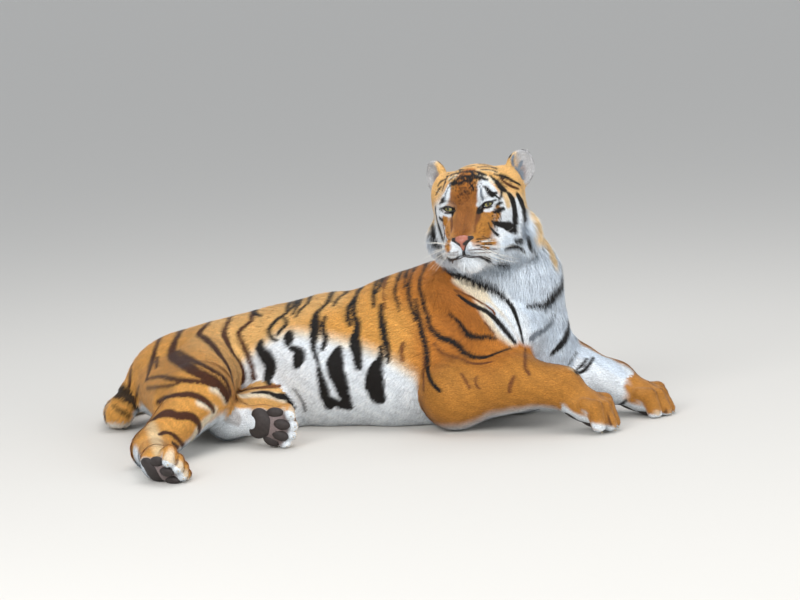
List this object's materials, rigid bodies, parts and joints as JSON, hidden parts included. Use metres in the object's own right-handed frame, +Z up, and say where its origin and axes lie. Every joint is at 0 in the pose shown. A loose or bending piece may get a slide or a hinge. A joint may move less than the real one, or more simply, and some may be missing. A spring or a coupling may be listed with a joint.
{
  "type": "siberian tiger",
  "caption": "Life-size Siberian tiger lying down with its head raised and turned over its right shoulder, as a still museum model.",
  "frame": {"origin": "the middle of the bounding box, at the floor under the animal", "axes": "+X towards the animal's front end, -Y towards the side its belly and hind legs face, +Z up"},
  "size_m": [1.6206, 1.2228, 0.7675],
  "materials": {
    "coat": "orange fur with dark stripes and white underparts",
    "nose_leather": "pink, slightly moist",
    "eye": "wet, pale yellow-green",
    "pad_leather": "dark, dry",
    "claw": "horn"
  },
  "bodies": {
    "root": {"ear_left": "coat", "ear_right": "coat", "eye_left": "eye", "eye_right": "eye", "nose": "nose_leather", "head": "coat", "neck": "coat", "trunk": "coat", "tail": "coat", "shoulder_left": "coat", "shoulder_right": "coat", "forearm_left": "coat", "forearm_right": "coat", "forepaw_left": "coat", "forepaw_right": "coat", "thigh_left": "coat", "thigh_right": "coat", "shank_left": "coat", "shank_right": "coat", "hind_paw_left": "coat", "hind_paw_right": "coat"}
  },
  "joints": []
}
